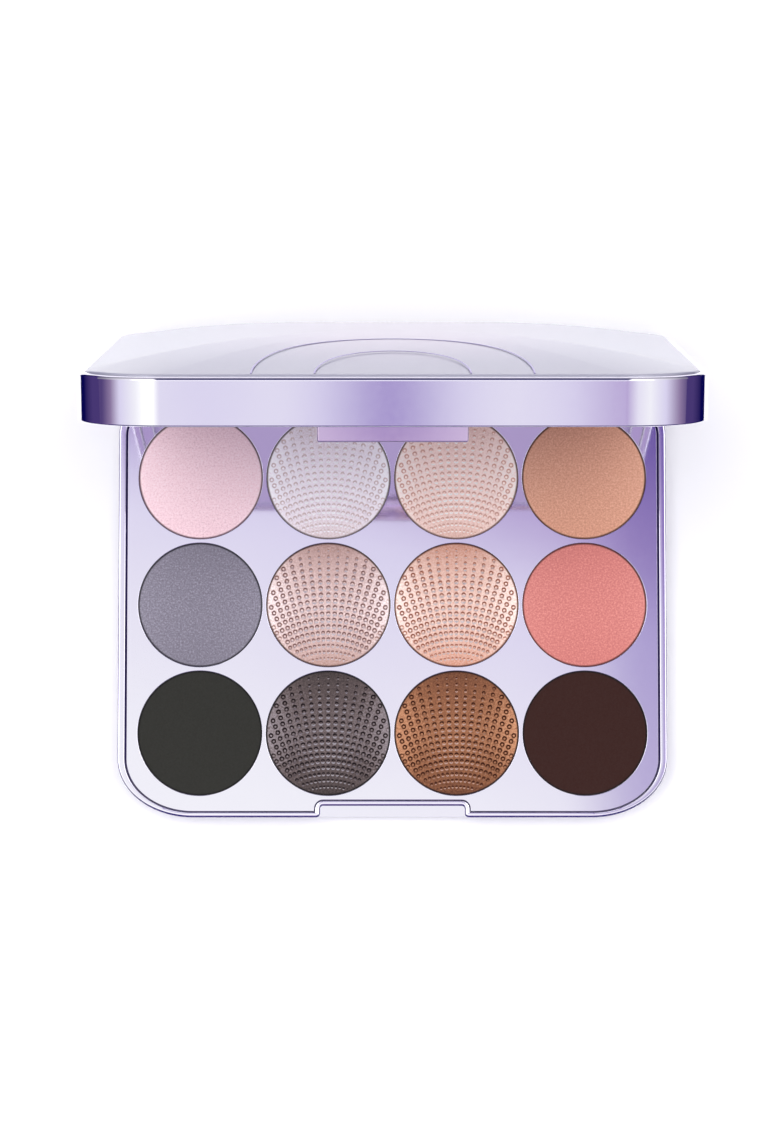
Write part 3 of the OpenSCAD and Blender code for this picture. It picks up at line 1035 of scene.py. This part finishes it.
def build_lid(lilac, deck_finish, pearl, mirror, line_finish, latch_finish):
    reliefs = relief_cutters(lid_relief_spans(), LID_PLACE)
    shell = shape("lid_case", loft("lid_case", lid_rings(), closed=True, place=LID_FRAME), reliefs)
    add_piece("lid_case", shell, "lid", [lilac], ["lid_shell"])
    for side, side_name in ((-1, "left"), (1, "right")):
        name = f"lid_knuckle_{side_name}"
        start = side * HINGE_X - LID_KNUCKLE_L / 2
        mesh = knuckle_mesh(name, start, LID_KNUCKLE_L, LID_PLACE)
        add_piece(name, mesh, "lid", [lilac])
    add_piece("domed_panel", panel_mesh(), "lid", [pearl], ["lid_panel"])
    for radius, line_name in zip(ARC_RADII, ("outer", "inner")):
        name = f"arc_line_{line_name}"
        add_piece(name, arc_line_mesh(name, radius), "lid", [line_finish])
    add_piece("mirror_surround", frame_mesh(), "lid", [deck_finish], ["mirror_frame"])
    add_piece("mirror_plate", mirror_mesh(), "lid", [mirror], ["mirror_glass"])
    add_piece("latch", tongue_mesh(), "lid", [latch_finish], ["latch_tongue"])


def finish_cad_nodes(finishes):
    """Gives the CAD nodes that stay their materials and slightly eased edges."""
    for node, material in finishes.items():
        piece = frame["nodes"][node]
        piece.data.materials.clear()
        piece.data.materials.append(material)
        bevel = piece.modifiers.new("eased", "BEVEL")
        bevel.width = mm(0.3) if node == "catch_bar" else mm(0.08)
        bevel.segments = 2
        bevel.limit_method = "ANGLE"
        bevel.angle_limit = math.radians(40)


# Studio

def card_mesh(name, width, height, material):
    """A flat rectangle about its own middle."""
    mesh = bpy.data.meshes.new(name)
    w, h = width / 2, height / 2
    mesh.from_pydata([(-w, -h, 0), (w, -h, 0), (w, h, 0), (-w, h, 0)], [], [(0, 1, 2, 3)])
    mesh.materials.append(material)
    return mesh


def emitter(name, width, height, place, material):
    """A flat card that gives light and is seen only in reflections."""
    card = bpy.data.objects.new(name, card_mesh(name, width, height, material))
    bpy.context.scene.collection.objects.link(card)
    card.matrix_world = place
    card.visible_camera = False
    card.visible_diffuse = False
    card.visible_shadow = False


def area_light(name, place, size, power):
    data = bpy.data.lights.new(name, "AREA")
    data.shape = "RECTANGLE"
    data.size = size
    data.size_y = size
    data.energy = power
    lamp = bpy.data.objects.new(name, data)
    bpy.context.scene.collection.objects.link(lamp)
    lamp.matrix_world = place
    return lamp


def facing(position, target):
    """A place whose -Z axis looks at the target."""
    towards = Vector(target) - Vector(position)
    turn = towards.to_track_quat("-Z", "Y")
    return Matrix.Translation(position) @ turn.to_matrix().to_4x4()


FLOOR_SIZE = 8


def build_floor():
    made = Nodes("pale_floor")
    colour = made.ramp(made.noise(3, 2), [(0.3, srgb(250, 250, 250)), (0.7, srgb(252, 252, 252))])
    made.join(colour, made.shader.inputs["Base Color"])
    made.set(Roughness=0.9)
    floor = bpy.data.objects.new("floor", card_mesh("floor", FLOOR_SIZE, FLOOR_SIZE, made.material))
    bpy.context.scene.collection.objects.link(floor)


class Sky(Tree):
    """Paints the studio's soft light by direction, as a photographer sets cards and softboxes."""

    def __init__(self, tree):
        super().__init__(tree)
        place = self.add("ShaderNodeTexCoord")
        split = self.add("ShaderNodeSeparateXYZ")
        self.join(place.outputs["Generated"], split.inputs["Vector"])
        self.direction = place.outputs["Generated"]
        self.right, self.rear, self.up = split.outputs

    def fade(self, value, start, end):
        """0 at the start, 1 at the end, with a soft run between."""
        made = self.add("ShaderNodeMapRange", interpolation_type="SMOOTHSTEP")
        rising = start < end
        made.inputs["From Min"].default_value = min(start, end)
        made.inputs["From Max"].default_value = max(start, end)
        made.inputs["To Min"].default_value = 0 if rising else 1
        made.inputs["To Max"].default_value = 1 if rising else 0
        self.join(value, made.inputs["Value"])
        return made.outputs["Result"]

    def window(self, value, low, high, soft):
        """1 between two values, fading to 0 over a soft edge outside them."""
        rise = self.fade(value, low - soft, low)
        fall = self.fade(value, high + soft, high)
        return self.math("MULTIPLY", rise, fall)

    def near(self, axis, inner, outer):
        """1 close to a direction, falling softly to 0 at the outer distance."""
        gap = self.add("ShaderNodeVectorMath", operation="DISTANCE")
        self.join(self.direction, gap.inputs[0])
        gap.inputs[1].default_value = Vector(axis).normalized()
        return self.fade(gap.outputs["Value"], outer, inner)

    def run(self, value, stops):
        """Colours that follow a value between its first and last stop."""
        low, high = stops[0][0], stops[-1][0]
        share = self.spread(value, 0, 1, low, high)
        return self.ramp(share, [((at - low) / (high - low), colour) for at, colour in stops])


def shown(red, green, blue, gain=1.0):
    """The light that a pale metal surface has to reflect to show this colour."""
    light = srgb(red, green, blue)[:3]
    return tuple(gain * c / m for c, m in zip(light, METAL_TINT))


# The tones that the studio shows in the gloss
DUSK = shown(82, 65, 120)
MAUVE = shown(140, 120, 160)
DEEP_LILAC = shown(150, 130, 195)
LILAC_SHADE = shown(180, 162, 210)
LILAC_LIGHT = shown(215, 208, 237)
PALE = shown(226, 221, 241)
BRIGHT = shown(240, 238, 248)
GLARE = shown(255, 255, 255, 1.2)
UNDER_LID = shown(176, 156, 202)
NAVY = srgb(44, 30, 112)
MIDNIGHT = srgb(24, 20, 96)
SOFTBOX = (3.4, 3.4, 3.4)
REAR_SHADE = (0.72, 0.66, 0.82)
RIGHT_SHADE = (0.59, 0.53, 0.74)


def band_light(sky):
    """What the lid's front band reflects: dark ends, bright corners and a lilac dip at the middle."""
    ends = sky.run(sky.right, [
        (-0.96, DUSK),
        (-0.87, MAUVE),
        (-0.75, LILAC_LIGHT),
        (-0.5, BRIGHT),
        (-0.25, GLARE),
        (-0.1, PALE),
        (0.1, LILAC_SHADE),
        (0.3, PALE),
        (0.5, BRIGHT),
        (0.75, LILAC_LIGHT),
        (0.93, MAUVE),
        (1.0, DUSK),
    ])
    flat = sky.run(sky.right, [
        (-0.09, PALE),
        (-0.065, LILAC_LIGHT),
        (-0.04, PALE),
        (-0.025, LILAC_LIGHT),
        (0.0, DEEP_LILAC),
        (0.025, LILAC_LIGHT),
        (0.04, PALE),
        (0.065, LILAC_LIGHT),
        (0.08, LILAC_SHADE),
    ])
    return sky.mix(sky.window(sky.right, -0.09, 0.09, 0.02), ends, flat)


def deck_light(sky):
    """What the deck reflects from straight overhead: darker at the rear and the right."""
    across = sky.math("ADD", sky.rear, sky.math("MULTIPLY", sky.right, 0.35))
    slope = sky.run(across, [
        (-0.03, BRIGHT),
        (0.03, PALE),
        (0.07, LILAC_LIGHT),
        (0.1, LILAC_SHADE),
        (0.14, DEEP_LILAC),
    ])
    slope = sky.mix(sky.fade(sky.rear, 0.08, 0.12), slope, REAR_SHADE, "MULTIPLY")
    return sky.mix(sky.fade(sky.right, 0.058, 0.088), slope, RIGHT_SHADE, "MULTIPLY")


def build_sky():
    """Bright overhead and dimmer at the horizon, with the patches that the gloss surfaces pick up."""
    world = bpy.data.worlds.new("studio")
    bpy.context.scene.world = world
    world.use_nodes = True
    sky = Sky(world.node_tree)
    colour = sky.run(sky.up, [
        (0.0, (0.2, 0.19, 0.24)),
        (0.3, (0.3, 0.29, 0.34)),
        (0.6, (0.72, 0.71, 0.75)),
        (0.85, (1.1, 1.09, 1.11)),
        (1.0, (1.2, 1.19, 1.21)),
    ])
    colour = sky.mix(sky.fade(sky.rear, -0.4, -0.52), colour, NAVY)
    middle = sky.window(sky.right, -0.12, 0.12, 0.05)
    strip = sky.math("MULTIPLY", middle, sky.window(sky.rear, 0.3, 0.85, 0.05))
    colour = sky.mix(strip, colour, MIDNIGHT)
    sideways = sky.fade(sky.math("ABSOLUTE", sky.right), 0.3, 0.42)
    tip = sky.math("MULTIPLY", sideways, sky.window(sky.rear, -0.4, -0.08, 0.04))
    band = sky.math("MAXIMUM", tip, sky.window(sky.rear, -0.36, -0.3, 0.025))
    colour = sky.mix(band, colour, band_light(sky))
    beside = sky.window(sky.right, -0.12, 0.12, 0.03)
    overhead = sky.math("MULTIPLY", beside, sky.window(sky.rear, -0.06, 0.14, 0.03))
    colour = sky.mix(overhead, colour, deck_light(sky))
    for side in (-1, 1):
        softbox = sky.near((side * 0.36, 0.1, 0.93), 0.14, 0.26)
        colour = sky.mix(softbox, colour, SOFTBOX)
    under_lid = sky.near((0, -0.53, 0.85), 0.08, 0.2)
    colour = sky.mix(under_lid, colour, UNDER_LID)
    back = world.node_tree.nodes["Background"]
    sky.join(colour, back.inputs["Color"])
    back.inputs["Strength"].default_value = 1.0


def glowing(name):
    """A material that only gives light, with its tree and the socket that takes its colour."""
    made = bpy.data.materials.new(name)
    made.use_nodes = True
    tree = Tree(made.node_tree)
    tree.tree.nodes.remove(tree.tree.nodes["Principled BSDF"])
    light = tree.add("ShaderNodeEmission")
    tree.join(light.outputs["Emission"], tree.tree.nodes["Material Output"].inputs["Surface"])
    return made, tree, light.inputs["Color"]


def build_flags():
    """Dark cards, seen only in gloss, that draw the navy lines at both sides and at the front."""
    tall, tree, colour = glowing("flag")
    _, height, _ = tree.generated()
    tree.join(tree.ramp(height, [(0.35, srgb(8, 6, 78)), (0.78, srgb(76, 60, 118))]), colour)
    for side, name in ((-1, "flag_left"), (1, "flag_right")):
        turn = Matrix.Rotation(math.radians(90 * side), 4, "Z") @ Matrix.Rotation(math.radians(90), 4, "X")
        place = Matrix.Translation((side * mm(150), 0, mm(55))) @ turn
        emitter(name, mm(400), mm(110), place, tall)
    low, _, colour = glowing("front_flag")
    colour.default_value = srgb(48, 32, 118)
    place = Matrix.Translation((0, FRONT_Y - mm(45), mm(0.3)))
    emitter("flag_front", mm(150), mm(88), place, low)


def build_studio():
    build_sky()
    build_flags()
    target = (0, 0, mm(20))
    key = area_light("key", facing((-0.1, -0.14, 1.2), target), 0.9, 8)
    key.visible_glossy = False


LENS = 91.7
TILT = math.radians(3.67)
DISTANCE = mm(606.17)
AIM = Vector((mm(-0.5), mm(6.36), DECK_TOP))


def build_camera():
    """A long lens almost straight above the deck, tilted a little from the front."""
    data = bpy.data.cameras.new("camera")
    data.sensor_width = 36
    data.lens = LENS
    data.clip_start = 0.01
    camera = bpy.data.objects.new("camera", data)
    bpy.context.scene.collection.objects.link(camera)
    away = Vector((0, -math.sin(TILT), math.cos(TILT)))
    camera.matrix_world = Matrix.Translation(AIM + away * DISTANCE) @ Matrix.Rotation(TILT, 4, "X")
    bpy.context.scene.camera = camera
    bpy.context.scene.view_settings.view_transform = "Standard"


lilac = metallised("lilac_metal", srgb(238, 235, 248), srgb(241, 238, 249), 0.06)
deck_finish = metallised("deck_metal", srgb(239, 236, 248), srgb(241, 238, 249), 0.05)
pearl = pearl_lacquer()
latch_finish = metallised("latch_metal", srgb(222, 202, 226), srgb(226, 207, 230), 0.08)
line_finish = metallised("line_metal", srgb(170, 160, 200), srgb(176, 166, 205), 0.15)
mirror = mirror_material()
catch_finish = metallised("catch_metal", srgb(238, 235, 248), srgb(241, 238, 249), 0.08)
steel = plain_material("pin_steel", srgb(190, 190, 194), srgb(205, 205, 208), 0.25, 1.0)
# The pans are drawn dark grey as painted shade, so the gap round each powder shows as a dark line
tin_dark_as_shade = plain_material("tinplate_dark_as_shade", srgb(84, 80, 88), srgb(96, 92, 100), 0.4, 1.0)
groove = groove_material()
glue = plain_material("dried_glue", srgb(236, 235, 230), srgb(244, 243, 240), 0.6)

build_base(lilac, deck_finish, groove)
build_lid(lilac, deck_finish, pearl, mirror, line_finish, latch_finish)
kept = {"catch_bar": catch_finish, "hinge_pin_left": steel, "hinge_pin_right": steel}
kept.update({node: glue for node in ("pan_glue", "panel_tape", "mirror_tape")})
kept.update({node: tin_dark_as_shade for node in frame["nodes"] if node.startswith("pan_") and node != "pan_glue"})
finish_cad_nodes(kept)
build_floor()
build_studio()
build_camera()
